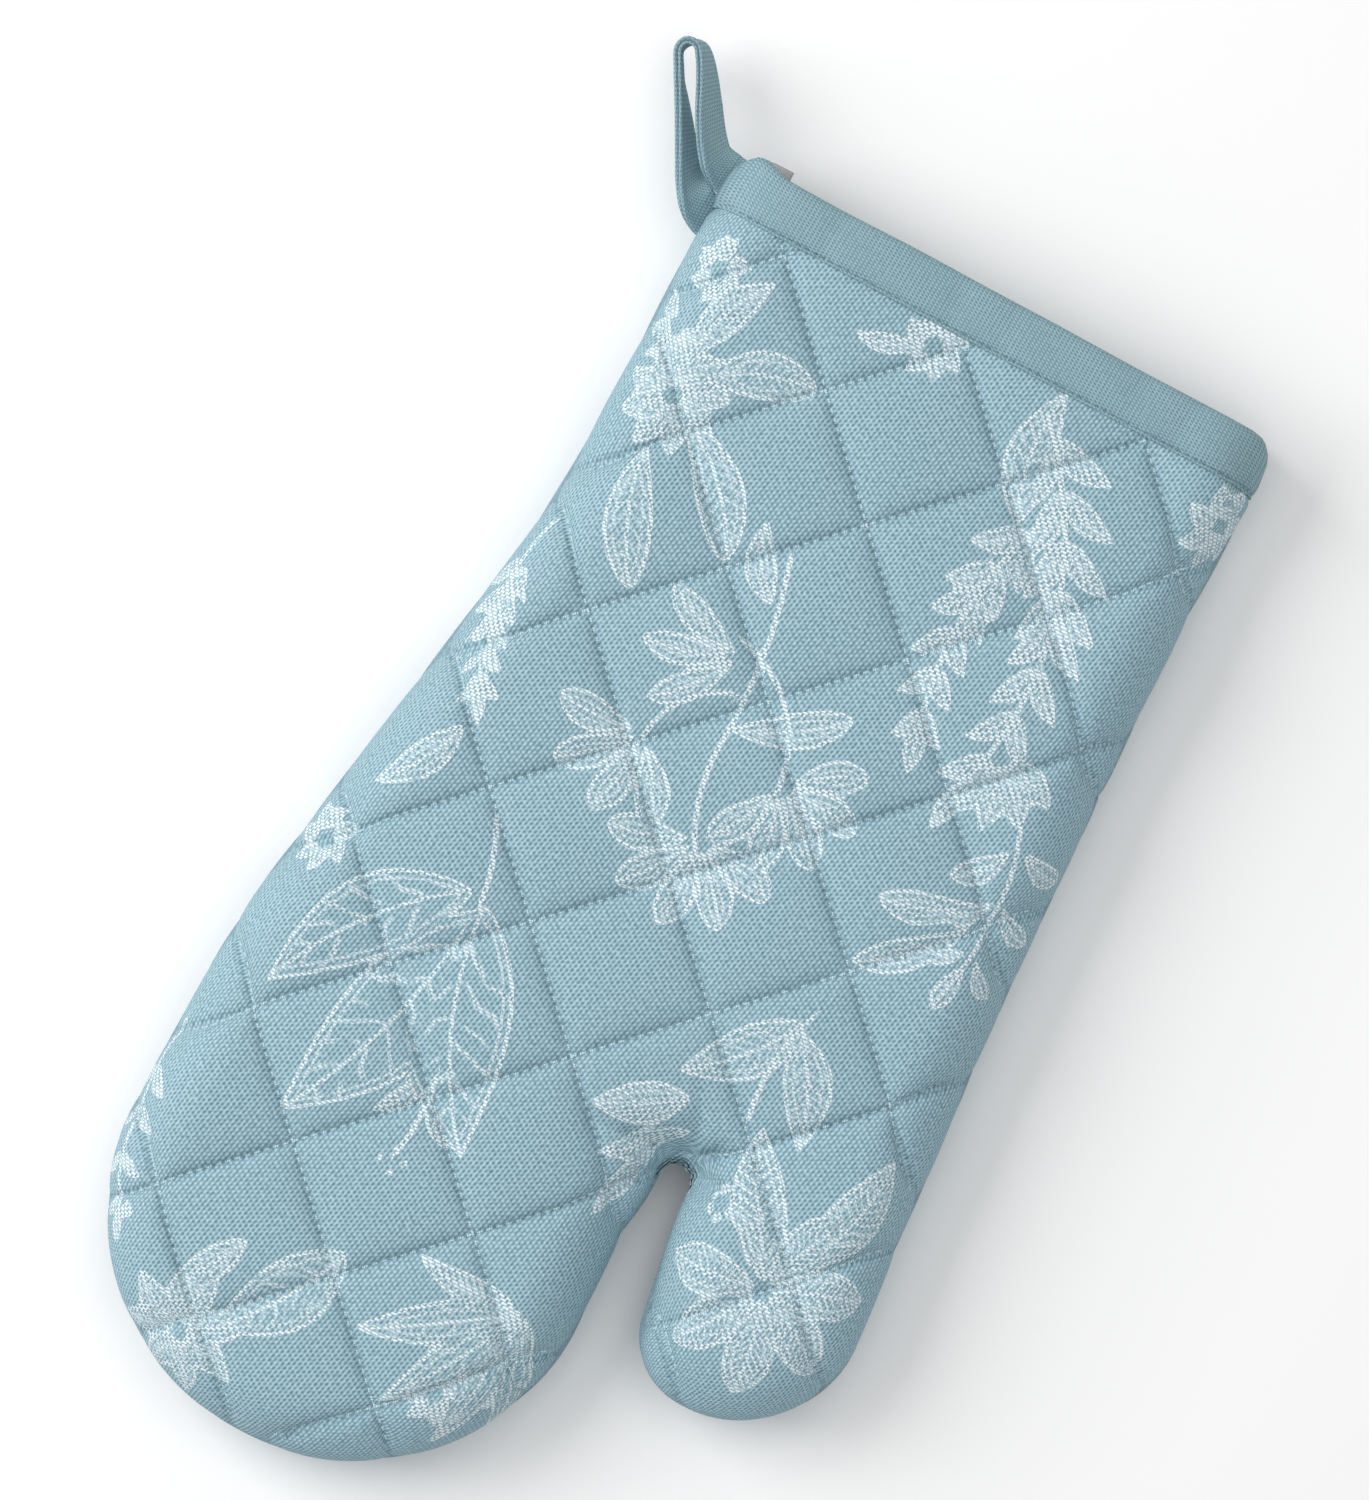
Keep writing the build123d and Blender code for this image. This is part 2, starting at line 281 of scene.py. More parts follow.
def quilting(points, shift, strength=1.0):
    """Relief of the quilting: a narrow valley at each stitched line, falling off with the
    exponential of the distance, on a broad dome, the root of two half sine waves."""
    a, b = line_phase(points, shift)
    cell = 0.5 + 0.5 * np.sin(12.9 * np.floor(a) + 78.2 * np.floor(b) + 3.1)
    da = np.abs(a - np.round(a)) * falling_pitch
    db = np.abs(b - np.round(b)) * rising_pitch
    va, vb = np.exp(-((da / valley_width) ** 0.9)), np.exp(-((db / valley_width) ** 0.9))
    valley = va + vb - va * vb
    dome = np.sqrt(np.abs(np.sin(np.pi * a) * np.sin(np.pi * b)))
    height = puff_height * (0.85 + 0.3 * cell)
    return strength * (-valley_depth * valley - height * (1 - dome))


crotch_folds = [            # heading in degrees, length, depth
    (-8, 30, 3.4), (-42, 17, 2.2), (-78, 26, 2.0), (-118, 16, 2.6), (-172, 20, 3.4),
]


def creases(points):
    """Folds that run out from the crotch: each is a narrow groove across its heading,
    deepest a third of the way along and gone at its end."""
    dx, dy = points[:, 0] - crotch_x, points[:, 1] - crotch_y
    total = -1.4 * np.exp(-(dx**2 + dy**2) / 49)
    for heading, length, depth in crotch_folds:
        a = np.radians(heading)
        along, across = dx * np.cos(a) + dy * np.sin(a), dy * np.cos(a) - dx * np.sin(a)
        bent = across + 1.2 * np.sin(along / 6)
        fade = smoothstep(-3, length / 3, along) * smoothstep(length, length / 3, along)
        total -= depth * fade * np.exp(-np.abs(bent / (1.2 + 0.06 * np.maximum(along, 0))))
    return total


def form(points, side):
    """The smooth padded form: plan points lifted over the rolled edge.  Height is the
    half thickness times the sine, and distance from the seam the radius times one minus
    the cosine, of the same angle.  Returns places, outward normals, that angle, the
    distance from the seam and the way out."""
    distance, outward = from_seam(points)
    angle = np.arccos(np.clip(1 - distance / roll, 0, 1))
    half = middle * fullness(points, side)
    place = np.column_stack([points, middle + side * half * np.sin(angle)])
    slope = np.column_stack([
        outward * np.cos(angle)[:, None] / roll,
        side * np.sin(angle) / half,
    ])
    return place, unit(slope), angle, distance, outward


def relief(points, side, angle):
    """All that stands off the smooth form: quilting, creases and soft unevenness, which
    fade on the steep edge, and the step down under the binding."""
    shift = 0.0 if side > 0 else back_shift
    fade = 0.35 + 0.65 * smoothstep(0.1, 0.9, angle)
    pressed = 1.0 if side > 0 else 0.8
    under = smoothstep(binding_width + 2.5, binding_width - 0.5, points[:, 1])
    wave = 0.45 * ripple(points, 45, 11 + side) - 0.45
    body = quilting(points, shift) * pressed + wave
    folds = creases(points) * (0.75 + 0.25 * fade)
    return body * fade * (1 - 0.75 * under) + folds - binding_step * under


# %% [markdown]
# A panel's grid of points runs along the quilting lines themselves, close together at
# the stitches and wider apart in the middle of a diamond, so each valley is sharp without
# millions of faces.  Past the last whole row, rings of points carry the cloth over the
# edge, down to the seam and in under it as the seam allowance.


# %% A panel's grid
def lattice_levels(start, pitch, count):
    """Positions across one set of lines: even steps u bent to u - 0.05 sin(2 pi u), which
    puts them closer together at both ends of every diamond."""
    u = np.arange(-8 * count, 12 * count + 1) / count
    whole, part = np.floor(u), u - np.floor(u)
    return start + pitch * (whole + part - 0.05 * np.sin(tau * part))


last_angle = 0.05           # over the edge, of the ring that is nearest to the seam
seam_allowance = (1.3, 6.8)      # where the two tucked rings lie, in from the seam


def panel_grid(side, count, edge=2.4, cuff=1.2, rings=7):
    """One panel, with count rows to a diamond.  The grid stops at edge from the seam and
    at cuff from the mouth.  Returns plan points, quads, and for each point whether it lies
    on neither (0), the first (1) or the second (2) tucked ring."""
    shift = 0.0 if side > 0 else back_shift
    fall = lattice_levels(falling_start + shift, falling_pitch, count)
    rise = lattice_levels(rising_start + shift, rising_pitch, count)
    f, r = np.meshgrid(fall, rise, indexing="ij")
    grid = np.stack([(f - r) * np.sqrt(0.5), (f + r) * np.sqrt(0.5)], -1)
    flat = grid.reshape(-1, 2)
    close = (flat > seam.min(0) - 1).all(1) & (flat < seam.max(0) + 1).all(1)
    distance = np.full(len(flat), -9.0)
    distance[close] = from_seam(flat[close])[0]
    keep = ((distance >= edge) & (flat[:, 1] > cuff - 3)).reshape(grid.shape[:2])
    above = (flat[:, 1] > cuff + 0.2).reshape(grid.shape[:2])
    quads = around_quad(keep).all(0) & around_quad(above).any(0)
    index = np.arange(len(flat)).reshape(grid.shape[:2])
    faces = around_quad(index)[:, quads].T
    used, faces = np.unique(faces, return_inverse=True)
    faces = faces.reshape(-1, 4)
    plan = flat[used].copy()
    plan[:, 1] = np.where(plan[:, 1] <= cuff + 0.2, cuff, plan[:, 1])
    rim = rim_of(faces)
    rim = rim[~(plan[rim, 1] <= cuff + 1e-6).all(1)]
    rim_points, rim_index = np.unique(rim, return_inverse=True)
    rim_index = rim_index.reshape(-1, 2)
    d, out = from_seam(plan[rim_points])
    plan[rim_points] += out * (d - edge)[:, None]
    foot = plan[rim_points] + out * edge
    start = np.arccos(1 - edge / roll)
    angles = np.linspace(start, last_angle, rings + 1)[1:]
    strips = [foot - out * (roll * (1 - np.cos(a))) for a in angles]
    tuck = [foot - out * depth for depth in seam_allowance]
    plan_all = np.concatenate([plan] + strips + tuck)
    side_distance = from_seam(plan_all)[0]
    inset = np.clip(cuff_corner - side_distance, 0, cuff_corner)
    lift = cuff_corner - np.sqrt(cuff_corner**2 - inset**2)
    plan_all[:, 1] = np.maximum(plan_all[:, 1], cuff + lift)
    n = len(rim_points)
    levels = [rim_points] + [len(plan) + k * n + np.arange(n) for k in range(rings + 2)]
    skirt = [
        np.column_stack([low[rim_index[:, 1]], low[rim_index[:, 0]],
                         high[rim_index[:, 0]], high[rim_index[:, 1]]])
        for low, high in zip(levels[:-1], levels[1:])
    ]
    tucked = np.zeros(len(plan_all))
    tucked[levels[-2]] = 1
    tucked[levels[-1]] = 2
    faces = np.concatenate([faces] + skirt)
    return plan_all, faces, tucked


grids = {side: panel_grid(side, 30) for side in (1, -1)}
print("points in a panel", len(grids[1][0]), "faces", len(grids[1][1]))

# %% [markdown]
# A cloth's threads don't bunch up where it rolls over the edge, so the pattern's own
# coordinates are measured along the cloth: past the start of the roll they run on by the
# arc's length instead of its shadow.


# %% Skins and shells
def cloth_place(plan, distance, outward):
    """Place in the cloth in millimetres: the plan point moved out by the arc's length
    less its plan length, which is nothing where the panel is flat."""
    d = np.clip(distance, 0, roll)
    spare = (np.pi / 2 - 1) * roll - (roll * np.arccos(1 - d / roll) - d)
    return np.column_stack([plan + outward * spare[:, None], np.zeros(len(plan))])


def closed_shell(top, bottom, faces):
    """Two skins over the same faces, joined by a wall along their rim."""
    n, rim = len(top), rim_of(faces)
    wall = np.column_stack([rim[:, 1], rim[:, 0], rim[:, 0] + n, rim[:, 1] + n])
    return np.concatenate([top, bottom]), np.concatenate([faces, faces[:, ::-1] + n, wall])


def without(faces, unwanted):
    """The points kept when the unwanted ones go, and the faces left, renumbered."""
    faces = faces[~unwanted[faces].any(1)]
    used, faces = np.unique(faces, return_inverse=True)
    return used, faces.reshape(-1, 4)


outer_cloth, lining_cloth = 0.8, 0.6
layer_gap = 0.05
least_padding = 1.4         # from the outer face in to the lining, at a stitched line
lining_depth = 4.9          # the same in the middle of a diamond, from the smooth form
cuff_pinch = 1.7            # how much less of it there is under the binding


def panel_layers(side):
    """Outer cloth, batting and lining of one panel, each as a closed shell."""
    plan, faces, tucked = grids[side]
    place, normal, angle, distance, outward = form(plan, side)
    stand = relief(plan, side, angle)
    in_seam = tucked > 0
    stand[in_seam] = 0
    place[in_seam, 2] = middle + side * 0.06
    normal[in_seam] = (0, 0, -side)
    ordered = faces if side > 0 else faces[:, ::-1]
    at = lambda height: place + normal * height[:, None]
    cloth = cloth_place(plan, distance, outward)
    under = smoothstep(binding_width + 3, binding_width - 0.5, plan[:, 1])
    inside = np.minimum(stand - least_padding,
                        -lining_depth + cuff_pinch * under + 0.25 * ripple(plan, 30, 5))
    result = {"outer": closed_shell(at(stand), at(stand - outer_cloth), ordered)}
    used, rest = without(ordered, in_seam)
    pick = lambda height: at(height)[used]
    result["batting"] = closed_shell(pick(stand - outer_cloth - layer_gap), pick(inside), rest)
    lining_top = inside - layer_gap
    result["lining"] = closed_shell(pick(lining_top), pick(lining_top - lining_cloth), rest)
    return result, np.tile(cloth, (2, 1)), np.tile(cloth[used], (2, 1))


names = {1: "front", -1: "back"}
panels = {}
for side, name in names.items():
    made, outer_coordinates, inner_coordinates = panel_layers(side)
    for layer, (points, quads) in made.items():
        piece = mesh_piece(f"{name}_{layer}_layer", points, quads)
        own = outer_coordinates if layer == "outer" else inner_coordinates
        give_vector(piece, "cloth", own)
        panels[name, layer] = piece
        print(piece.name, len(quads), "faces")

# %% [markdown]
# The cloth is a jacquard: white threads float over the blue ground wherever the figure
# wants a line.  The figure is sprigs and single leaves.  Each leaf is told to the cloth
# as three numbers at every point, along it, across it and out from its edge, and the
# material draws the outline, the midrib and the side veins from those.

# %% The woven figure
leaves, stems = [], []


def leaf(base, tip, width, bend=0.0, fill=0.0, shape=0.85):
    """One leaf from base to tip; bend is how far its middle swings to the left, and a
    shape over 1 is a paddle, widest near its tip."""
    leaves.append((np.array(base, float), np.array(tip, float), width, bend, fill, shape))


def stem(start, end, bend=0.0, count=24):
    """A bent stalk: the chord plus a parabola to its left."""
    start, end = np.array(start, float), np.array(end, float)
    t = np.linspace(0, 1, count)[:, None]
    left = np.array([start[1] - end[1], end[0] - start[0]])
    line = start + (end - start) * t + left / np.hypot(*left) * bend * 4 * t * (1 - t)
    stems.append(line)
    return line


def sprig(start, end, bend, pairs, size, width, fill=0.0, spread=50, first=0.25,
          shape=0.85):
    """A stalk with pairs of leaves at a slant, smaller towards its end, and one on top."""
    line = stem(start, end, bend)
    for i in range(pairs):
        share = first + (0.92 - first) * i / max(1, pairs - 1)
        at = int(share * (len(line) - 1))
        ahead = line[min(at + 1, len(line) - 1)] - line[at - 1]
        heading = np.arctan2(ahead[1], ahead[0])
        length = size * (1 - 0.35 * share)
        for hand in (1, -1):
            a = heading + hand * np.radians(spread)
            foot = line[at] + 1.5 * np.array([np.cos(a), np.sin(a)])
            leaf(foot, foot + length * np.array([np.cos(a), np.sin(a)]),
                 width * (1 - 0.3 * share), -hand * 1.5, fill, shape)
    ahead = line[-1] - line[-3]
    leaf(line[-1], line[-1] + ahead / np.hypot(*ahead) * size * 0.8, width * 0.8, 0, fill,
         shape)


def spray(centre, heading, spread, count, length, width, fill=0.0, shape=0.85):
    """Leaves or petals that fan out from one point."""
    for a in np.radians(heading + spread * np.linspace(-0.5, 0.5, count)):
        ahead = np.array([np.cos(a), np.sin(a)])
        leaf(np.array(centre) + 2 * ahead, np.array(centre) + length * ahead, width, 1.0,
             fill, shape)


stem((47, 164), (41, 183), 1)
leaf((40, 183), (17, 238), 14, -5)
leaf((41, 185), (60, 248), 13, 4)
leaf((44, 181), (77, 223), 10, -4)
stem((31, 224), (31, 244), 1)
spray((31, 246), 90, 360, 5, 4, 1.4, 1.0)
leaf((33, 226), (41, 238), 2.6, 1, 0.9)
leaf((29, 228), (21, 238), 2.6, -1, 0.9)
stem((15, 78), (9, 122), 2)
stem((9, 122), (3, 148), -2)
spray((3, 146), 92, 150, 5, 22, 4.4, 0.3, 1.5)
stem((15, 100), (-8, 128), 6)
spray((-8, 126), 138, 150, 5, 21, 4.3, 0.3, 1.5)
stem((12, 112), (26, 132), -4)
spray((26, 130), 62, 120, 4, 22, 4.4, 0.3, 1.5)
spray((14, 104), 15, 70, 3, 24, 3.8, 0.35, 1.4)
leaf((10, 120), (-16, 104), 4.6, -2, 0.35, 1.4)
leaf((14, 90), (24, 72), 4.0, 2, 0.5)
sprig((-22, 20), (-46, 104), 12, 8, 19, 3.6, 0.85, 34, 0.08)
sprig((-34, 40), (-30, 98), -5, 6, 15, 3.4, 0.75, 34, 0.1)
spray((-50, 96), 118, 90, 4, 18, 4.0, 0.6)
leaf((-28, 46), (-24, 12), 6, 3, 0.5)
spray((58, 57), 75, 330, 9, 15, 3.6, 0.75)
leaf((52, 60), (28, 86), 6, 3, 0.4, 1.2)
leaf((58, 70), (45, 102), 6, -2, 0.4, 1.2)
leaf((53, 50), (28, 40), 6, 2, 0.5, 1.2)
leaf((58, 46), (48, 22), 5, 2, 0.6)
spray((63, 26), 90, 340, 7, 9, 2.4, 0.85)
spray((66, 42), 60, 200, 5, 12, 2.6, 0.85)
spray((9, 18), 90, 320, 8, 9, 2.2, 0.85)
leaf((12, 20), (28, 24), 2.6, 1, 0.8)
sprig((72, 96), (66, 138), -4, 5, 13, 2.6, 0.8, 40)
sprig((-62, 108), (-66, 142), 3, 3, 17, 3.6, 0.45, 60, 0.15, 1.5)
leaf((-63, 128), (-40, 138), 4.2, 2, 0.4, 1.5)
leaf((-63, 134), (-42, 154), 4.2, 2, 0.4, 1.5)
spray((-60, 232), 150, 290, 7, 26, 6.0, 0.7, 1.2)
leaf((-58, 226), (-42, 198), 7, 2, 0.8)
leaf((-66, 222), (-74, 190), 7, -2, 0.7)
spray((-41, 219), 90, 360, 7, 5, 1.6, 1.0)
stem((-40, 170), (-38, 198), -2)
leaf((-39, 172), (-18, 196), 6.5, 2, 0.45)
leaf((-39, 174), (-52, 200), 6.0, 2, 0.45)
leaf((-24, 200), (-3, 212), 5.5, 1, 0.85)
leaf((-24, 212), (-17, 236), 4.0, 1, 0.7)
leaf((-28, 208), (-10, 222), 3.6, 1, 0.8)
spray((-14, 262), 72, 78, 4, 42, 5.4, 0.25)
leaf((-10, 262), (16, 262), 3.5, 2, 0.6)
spray((-4, 290), 90, 340, 8, 9, 2.2, 0.9)
leaf((30, 270), (50, 301), 8.5, 2, 0.35)
leaf((52, 278), (64, 296), 4.0, 1, 0.6)
spray((57, 306), 90, 340, 8, 18, 4.2, 0.65)
spray((57, 306), 60, 120, 3, 9, 2.0, 1.0)
sprig((95, 240), (86, 288), -4, 4, 12, 2.6, 0.8)
spray((84, 186), 100, 320, 7, 10, 2.4, 0.8)
spray((-73, 24), 40, 300, 7, 12, 2.8, 0.8)
leaf((64, 148), (78, 170), 4.6, 2, 0.4)
print(len(leaves), "leaves,", len(stems), "stems")


def figure_at(points):
    """The figure's numbers at cloth points: (vein count, across, out from the edge) and
    (fill, signed distance to a stalk, plain distance to it)."""
    p = points[:, :2]
    leaf_numbers = np.tile([0.0, 9.0, 9.0], (len(p), 1))
    fill = np.zeros(len(p))
    for base, tip, width, bend, dense, shape in leaves:
        chord = tip - base
        length = np.hypot(*chord)
        ahead = chord / length
        left = np.array([-ahead[1], ahead[0]])
        along, across = (p - base) @ ahead, (p - base) @ left
        share = np.clip(along / length, 0, 1)
        across = across - bend * 4 * share * (1 - share)
        half = width * np.sin(np.pi * share**shape) ** (0.9 if shape < 1 else 0.6)
        beyond = along - np.clip(along, 0, length)
        out = np.hypot(np.maximum(np.abs(across) - half, 0), beyond)
        out = np.where(out > 0, out, (np.abs(across) - half) * 0.9)
        pitch = np.clip(length / 10, 2.4, 4.6)
        best = out < leaf_numbers[:, 2]
        values = np.column_stack([(along - 0.9 * np.abs(across)) / pitch, across, out])
        leaf_numbers[best] = values[best]
        fill[best] = dense
    stalk = np.tile([9.0, 9.0], (len(p), 1))
    for line in stems:
        step = line[1:] - line[:-1]
        size = np.hypot(step[:, 0], step[:, 1])
        ahead = step / size[:, None]
        gap = p[:, None] - line[:-1]
        along = np.clip((gap * ahead).sum(2), 0, size)
        gap = gap - ahead * along[..., None]
        reach = np.hypot(gap[..., 0], gap[..., 1])
        k = reach.argmin(1)
        rows = np.arange(len(p))
        turn = ahead[k, 0] * gap[rows, k, 1] - ahead[k, 1] * gap[rows, k, 0]
        closer = reach[rows, k] < stalk[:, 1]
        own = np.column_stack([np.sign(turn) * reach[rows, k], reach[rows, k]])
        stalk[closer] = own[closer]
    return np.clip(leaf_numbers, -99, 99), np.column_stack([fill, stalk])


for name in names.values():
    piece = panels[name, "outer"]
    count = len(piece.data.vertices) // 2
    own = np.empty(len(piece.data.vertices) * 3, np.float32)
    piece.data.attributes["cloth"].data.foreach_get("vector", own)
    own = own.reshape(-1, 3)[:count]
    leaf_numbers, stalk_numbers = figure_at(own)
    give_vector(piece, "leaf", np.tile(leaf_numbers, (2, 1)))
    give_vector(piece, "stalk", np.tile(stalk_numbers, (2, 1)))

# %% [markdown]
# Materials are written as sums.  A small class wraps a socket, so that plus, times and
# the rest add Math nodes, and a graph adds any other node by its type.


# %% Shader arithmetic
def linear(red, green, blue):
    """A screen colour from 0 to 255 as the linear values that a shader works in."""
    c = np.array([red, green, blue]) / 255
    return (*np.where(c < 0.04045, c / 12.92, ((c + 0.055) / 1.055) ** 2.4), 1.0)


class Wire:
    """A socket that can be added, multiplied and so on."""

    def __init__(self, graph, socket):
        self.graph, self.socket = graph, socket

    def __add__(self, other): return self.graph.math("ADD", self, other)
    def __radd__(self, other): return self.graph.math("ADD", other, self)
    def __sub__(self, other): return self.graph.math("SUBTRACT", self, other)
    def __rsub__(self, other): return self.graph.math("SUBTRACT", other, self)
    def __mul__(self, other): return self.graph.math("MULTIPLY", self, other)
    def __rmul__(self, other): return self.graph.math("MULTIPLY", other, self)
    def __truediv__(self, other): return self.graph.math("DIVIDE", self, other)
    def __abs__(self): return self.graph.math("ABSOLUTE", self)
    def cos(self): return self.graph.math("COSINE", self)
    def floor(self): return self.graph.math("FLOOR", self)
    def part(self): return self.graph.math("FRACT", self)
    def higher(self, other): return self.graph.math("MAXIMUM", self, other)

    def step(self, low, high):
        """Smoothly 0 to 1 as the value goes from low to high; low may be the larger."""
        if low > high:
            return 1 - self.step(high, low)
        return self.graph.node("ShaderNodeMapRange", {"interpolation_type": "SMOOTHSTEP"},
                               Value=self, **{"From Min": low, "From Max": high})

    def axes(self):
        node = self.graph.add("ShaderNodeSeparateXYZ", {}, Vector=self)
        return [Wire(self.graph, s) for s in node.outputs]


class Graph:
    """A material whose nodes are added by expressions."""

    def __init__(self, name):
        self.material = bpy.data.materials.new(name)
        self.material.use_nodes = True
        self.nodes = self.material.node_tree.nodes
        self.nodes.clear()

    def add(self, kind, settings, **inputs):
        node = self.nodes.new(kind)
        for key, value in settings.items():
            setattr(node, key, value)
        for key, value in inputs.items():
            self.join(value, node.inputs[key])
        return node

    def join(self, value, socket):
        if isinstance(value, Wire):
            self.material.node_tree.links.new(value.socket, socket)
        else:
            socket.default_value = value

    def node(self, kind, settings=None, output=0, **inputs):
        return Wire(self, self.add(kind, settings or {}, **inputs).outputs[output])

    def math(self, kind, *values):
        node = self.add("ShaderNodeMath", {"operation": kind})
        for value, socket in zip(values, node.inputs):
            self.join(value, socket)
        return Wire(self, node.outputs[0])

    def field(self, name):
        return self.node("ShaderNodeAttribute", {"attribute_name": name}, "Vector")

    def noise(self, where, scale, detail=2.0, rough=0.5):
        return self.node("ShaderNodeTexNoise", Vector=where, Scale=scale, Detail=detail,
                         Roughness=rough)

    def mix(self, share, first, second):
        node = self.add("ShaderNodeMix", {"data_type": "RGBA"})
        for value, socket in ((share, 0), (first, 6), (second, 7)):
            self.join(value, node.inputs[socket])
        return Wire(self, node.outputs[2])

    def surface(self, colour, rough, height=None, depth=0.3, **constants):
        """The principled shader, with height in millimetres times depth as its bump."""
        shader = self.add("ShaderNodeBsdfPrincipled", {})
        self.join(colour, shader.inputs["Base Color"])
        self.join(rough, shader.inputs["Roughness"])
        shader.inputs["Specular IOR Level"].default_value = 0.25
        for key, value in constants.items():
            shader.inputs[key.replace("_", " ")].default_value = value
        if height is not None:
            bump = self.node("ShaderNodeBump", Height=height, Strength=1.0,
                             Distance=depth * MM)
            self.join(bump, shader.inputs["Normal"])
        output = self.add("ShaderNodeOutputMaterial", {})
        self.join(Wire(self, shader.outputs[0]), output.inputs[0])
        return self.material


def waves(x, y, parts):
    """Sum of cosines with the given cycles per millimetre across and along, and weights."""
    total = 0.0
    for across, along, weight in parts:
        total = total + weight * (x * (tau * across) + y * (tau * along)).cos()
    return total


# %% [markdown]
# The ground shows two blues: a paler thread over a darker one, in a small slanted weave.
# The white floats are short dashes in rows, each row set about a third of a dash along,
# and they stand a little above the ground.

# %% Jacquard
float_row, float_dash = 0.78, 1.9       # spacing of the rows and of the dashes in a row
g = Graph("jacquard")
cloth = g.field("cloth")
x, y, _ = cloth.axes()
weave = waves(x, y, [(-0.98, 0.23, 0.5), (0.5, 0.67, 0.24), (-0.5, 0.92, 0.22)])
uneven = g.noise(cloth, 0.9, 3.0) - 0.5
patches = g.noise(cloth, 0.03, 2.0) - 0.5
vein, across, out = g.field("leaf").axes()
fill, beside, reach = g.field("stalk").axes()
wobble = 0.5 * (g.noise(cloth, 0.35, 1.0) - 0.5)
within = (out + wobble).step(0.1, -0.2)
edge = abs(out + 0.55 + wobble).step(0.62, 0.38)
inner_edge = 0.7 * abs(out + 2.3 + wobble).step(0.45, 0.25)
midrib = abs(across + wobble).step(0.65, 0.35) * within
drift = g.noise(cloth, 0.09, 1.0) - 0.5
vein = vein + 2.2 * drift
broken = g.noise(cloth, 0.16, 1.0).step(0.36, 0.5)
side_veins = abs((0.62 * vein).part() - 0.5).step(0.14, 0.07)
side_veins = side_veins * (out + wobble).step(-0.6, -1.6) * broken
hatch = abs((1.15 * vein + 0.4 * wobble).part() - 0.5).step(0.27, 0.09)
filled = within * (0.14 * fill * fill + (1.2 * fill) * hatch)
stalk = abs(beside + wobble).step(0.85, 0.5) * reach.step(3.0, 2.0)
figure = edge.higher(0.9 * midrib).higher(0.75 * side_veins).higher(filled).higher(stalk)
figure = figure.higher(inner_edge) * g.noise(cloth, 0.3, 2.0).step(0.2, 0.45)
row = y / float_row + 0.5 * uneven
dash = abs((x / float_dash + row.floor() * 0.37 + 0.5 * uneven).part() - 0.5).step(0.45, 0.3)
thread_round = abs(row.part() - 0.5).step(0.5, 0.2)
float_mask = figure * dash
floats = float_mask * thread_round

# %% [markdown]
# The thread pulls the cloth in where it goes down.  The same two sets of lines that shaped
# the panels are found again here from the place of the point, shifted on the back.

# %% Quilting lines in the jacquard
object_coordinates = 3      # the output of that name
turnover = 0.0004           # half the band at the seam where front changes to back
stitch_pitch = 2.35
place = g.node("ShaderNodeTexCoord", output=object_coordinates)
across_mitt, up_mitt, high = place.axes()
px, py = across_mitt / MM - origin[0], up_mitt / MM - origin[1]
behind = high.step(middle * MM + turnover, middle * MM - turnover) * back_shift
fall, rise = (px + py) * np.sqrt(0.5) - behind, (py - px) * np.sqrt(0.5) - behind


def stitched(level, run, start, pitch):
    """Distance from the nearest line of a set, as narrow and wide masks, and where the
    thread goes down into the cloth, which is between stitches along the line.  The narrow
    ones carry painted shade along the line and at its holes."""
    distance = abs(((level - start) / pitch + 0.5).part() - 0.5) * pitch
    hole = (run * (tau / stitch_pitch)).cos().step(-0.2, -1.0)
    narrow = distance.step(0.9, 0.15)
    return narrow, narrow * hole, distance.step(2.6, 0.4) * hole


narrow_a, hole_shade_a, pull_a = stitched(fall, rise + behind, falling_start, falling_pitch)
narrow_b, hole_shade_b, pull_b = stitched(rise, fall + behind, rising_start, rising_pitch)
line_shade = narrow_a.higher(narrow_b)
hole = hole_shade_a.higher(hole_shade_b)
pull = pull_a.higher(pull_b)

# %% [markdown]
# The ground's two blues are mixed by the weave with some unevenness, the floats lie over
# them, and shade is painted along the stitched lines, darker at the stitch holes.  The same
# masks make the bump.

# %% Jacquard colour and height
speckle = g.noise(cloth, 1.3, 2.0) - 0.5
tone = (weave + 1.6 * uneven + 1.2 * speckle).step(-1.0, 1.0)
ground = g.mix(tone, linear(104, 139, 152), linear(176, 206, 217))
ground = g.mix(abs(patches) * 0.4, ground, linear(146, 176, 188))
bright = float_mask * (0.3 + 0.7 * thread_round)
colour = g.mix(bright, ground, linear(232, 245, 250))
# Painted shade: the colour goes towards a dark blue along the stitched lines, and more at the
# stitch holes where the cloth dips.
colour = g.mix(0.1 * line_shade + 0.3 * hole, colour, linear(70, 104, 118))
height = 0.5 * weave + 0.6 * uneven + 0.9 * floats - 0.4 * line_shade - 0.5 * pull
jacquard = g.surface(colour, 0.85 - 0.25 * floats, height, 0.16)

# %% [markdown]
# The other cloths are plainer: a ribbed tape, a pale lining, soft wadding and a smooth
# label.  A thread is two plies that wind round each other.

# %% Tape, lining, batting, label and thread
g = Graph("bias_tape")
cloth = g.field("cloth")
x, y, _ = cloth.axes()
weave = waves(x, y, [(-0.83, 1.28, 0.4), (0.16, 1.27, 0.3), (0.95, 0.05, 0.3)])
uneven = g.noise(cloth, 0.8, 3.0) - 0.5
tone = (weave + 0.8 * uneven).step(-0.8, 0.8)
colour = g.mix(tone, linear(108, 140, 150), linear(158, 187, 196))
tape = g.surface(colour, 0.85, 0.5 * weave + 0.3 * uneven, 0.16)

g = Graph("lining_cloth")
cloth = g.field("cloth")
x, y, _ = cloth.axes()
weave = waves(x, y, [(1.4, 0.0, 0.5), (0.0, 1.4, 0.5)])
tone = (weave + (g.noise(cloth, 0.5, 3.0) - 0.5)).step(-1.0, 1.0)
lining = g.surface(g.mix(tone, linear(196, 204, 206), linear(222, 227, 228)), 0.9, weave, 0.12)

